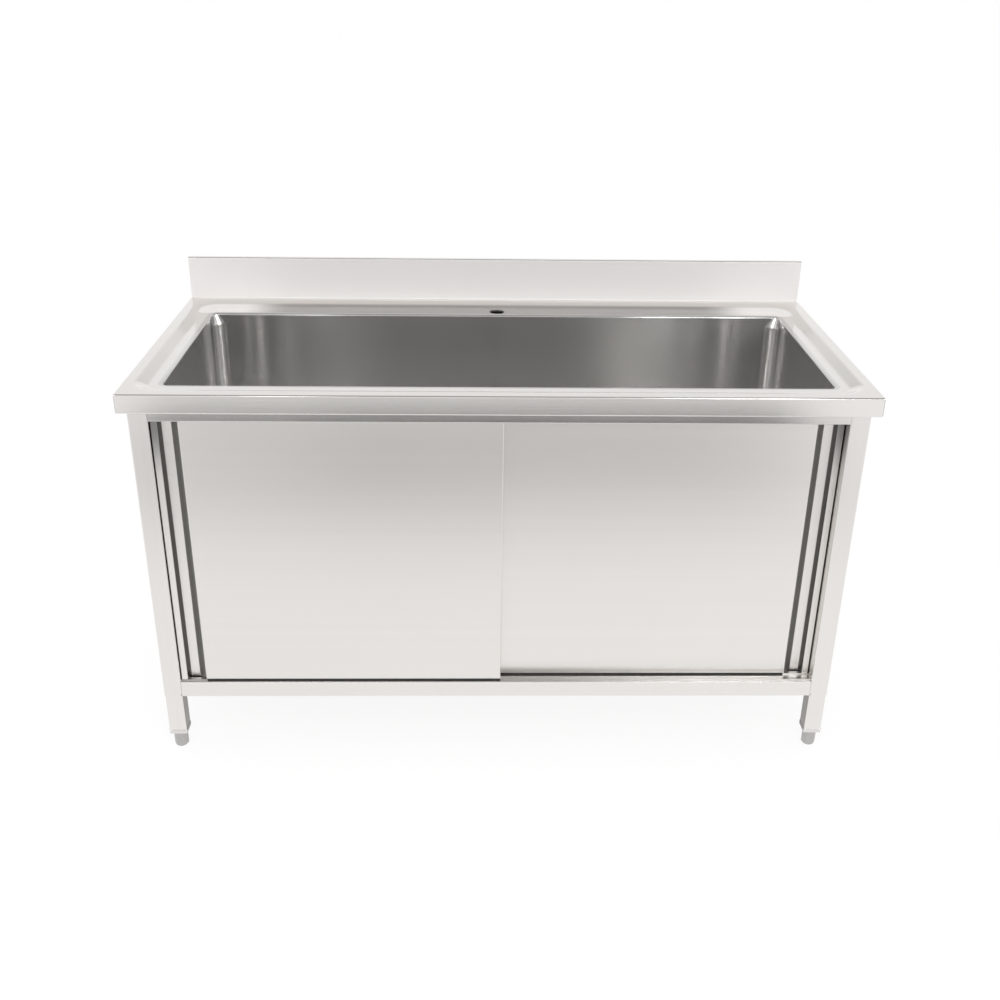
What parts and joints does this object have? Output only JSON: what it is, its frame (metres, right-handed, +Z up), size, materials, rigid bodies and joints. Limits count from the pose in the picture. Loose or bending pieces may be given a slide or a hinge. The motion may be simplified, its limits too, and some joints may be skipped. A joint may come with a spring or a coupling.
{
  "type": "kitchen sink unit",
  "caption": "Stainless steel kitchen sink unit: long single bowl in a deck with upstand, on a cabinet with sliding doors and adjustable feet.",
  "frame": {"origin": "on the floor under the middle of the unit", "axes": "+X to the right of a person at the sink, doors face -Y, +Z up"},
  "size_m": [1.5, 0.7, 0.95],
  "materials": {
    "deck_steel": "satin",
    "bowl_steel": "satin",
    "panel_steel": "brushed",
    "door_steel": "brushed",
    "leg_steel": "satin",
    "track_steel": "mill",
    "fitting_steel": "polished",
    "cap_metal": "satin",
    "foot_metal": "cast satin",
    "nylon_white": "matte",
    "nut_plastic": "matte",
    "rubber_black": "matte"
  },
  "bodies": {
    "cabinet": {"deck_top": "deck_steel", "upstand_end_left": "deck_steel", "upstand_end_right": "deck_steel", "tap_plate": "track_steel", "deck_stiffener_left": "track_steel", "deck_stiffener_right": "track_steel", "bowl": "bowl_steel", "side_panel_left": "panel_steel", "side_panel_right": "panel_steel", "back_panel": "panel_steel", "base_shelf": "panel_steel", "front_fascia": "panel_steel", "shelf_stiffener": "track_steel", "top_rail": "track_steel", "front_door_track": "track_steel", "rear_door_track": "track_steel", "guide_rib_front": "track_steel", "guide_rib_middle": "track_steel", "guide_rib_rear": "track_steel", "panel_rivets": "fitting_steel", "track_stops": "rubber_black", "strainer_body": "fitting_steel", "strainer_upper_gasket": "rubber_black", "strainer_lower_gasket": "rubber_black", "strainer_lock_nut": "nut_plastic", "tailpiece": "fitting_steel", "tailpiece_nut": "nut_plastic", "leg_front_left": "leg_steel", "leg_cap_front_left": "cap_metal", "leg_front_right": "leg_steel", "leg_cap_front_right": "cap_metal", "leg_rear_left": "leg_steel", "leg_cap_rear_left": "cap_metal", "leg_rear_right": "leg_steel", "leg_cap_rear_right": "cap_metal"},
    "left_door": {"left_door_skin": "door_steel", "left_door_liner": "door_steel", "left_door_stiffener": "track_steel", "left_door_hangers": "track_steel", "left_door_axles": "fitting_steel", "left_door_shoes": "nylon_white"},
    "left_outer_wheel": {"left_door_outer_wheel": "nylon_white"},
    "left_inner_wheel": {"left_door_inner_wheel": "nylon_white"},
    "right_door": {"right_door_skin": "door_steel", "right_door_liner": "door_steel", "right_door_stiffener": "track_steel", "right_door_hangers": "track_steel", "right_door_axles": "fitting_steel", "right_door_shoes": "nylon_white"},
    "right_outer_wheel": {"right_door_outer_wheel": "nylon_white"},
    "right_inner_wheel": {"right_door_inner_wheel": "nylon_white"},
    "basket": {"strainer_basket": "fitting_steel", "basket_knob": "fitting_steel", "basket_seal": "rubber_black"},
    "foot_front_left": {"foot_front_left": "foot_metal"},
    "foot_front_right": {"foot_front_right": "foot_metal"},
    "foot_rear_left": {"foot_rear_left": "foot_metal"},
    "foot_rear_right": {"foot_rear_right": "foot_metal"}
  },
  "joints": [
    {"name": "left_door_slide", "type": "slide", "parent": "cabinet", "child": "left_door", "axis": [1, 0, 0], "range_m": [0, 0.687]},
    {"name": "right_door_slide", "type": "slide", "parent": "cabinet", "child": "right_door", "axis": [1, 0, 0], "range_m": [-0.687, 0]},
    {"name": "left_outer_wheel_spin", "type": "hinge", "parent": "left_door", "child": "left_outer_wheel", "pos_m": [-0.607, -0.3266, 0.8153], "axis": [0, 1, 0], "continuous": true},
    {"name": "left_inner_wheel_spin", "type": "hinge", "parent": "left_door", "child": "left_inner_wheel", "pos_m": [-0.08, -0.3266, 0.8153], "axis": [0, 1, 0], "continuous": true},
    {"name": "right_outer_wheel_spin", "type": "hinge", "parent": "right_door", "child": "right_outer_wheel", "pos_m": [0.607, -0.3046, 0.8153], "axis": [0, 1, 0], "continuous": true},
    {"name": "right_inner_wheel_spin", "type": "hinge", "parent": "right_door", "child": "right_inner_wheel", "pos_m": [0.08, -0.3046, 0.8153], "axis": [0, 1, 0], "continuous": true},
    {"name": "foot_front_left_adjust", "type": "slide", "parent": "cabinet", "child": "foot_front_left", "axis": [0, 0, -1], "range_m": [0, 0.025]},
    {"name": "foot_front_right_adjust", "type": "slide", "parent": "cabinet", "child": "foot_front_right", "axis": [0, 0, -1], "range_m": [0, 0.025]},
    {"name": "foot_rear_left_adjust", "type": "slide", "parent": "cabinet", "child": "foot_rear_left", "axis": [0, 0, -1], "range_m": [0, 0.025]},
    {"name": "foot_rear_right_adjust", "type": "slide", "parent": "cabinet", "child": "foot_rear_right", "axis": [0, 0, -1], "range_m": [0, 0.025]},
    {"name": "basket_lift", "type": "slide", "parent": "cabinet", "child": "basket", "axis": [0, 0, 1], "range_m": [0, 0.12]}
  ],
  "couplings": [
    {"joint": "left_outer_wheel_spin", "follows": "left_door_slide", "rad_per_m": 83.333},
    {"joint": "left_inner_wheel_spin", "follows": "left_door_slide", "rad_per_m": 83.333},
    {"joint": "right_outer_wheel_spin", "follows": "right_door_slide", "rad_per_m": 83.333},
    {"joint": "right_inner_wheel_spin", "follows": "right_door_slide", "rad_per_m": 83.333}
  ]
}
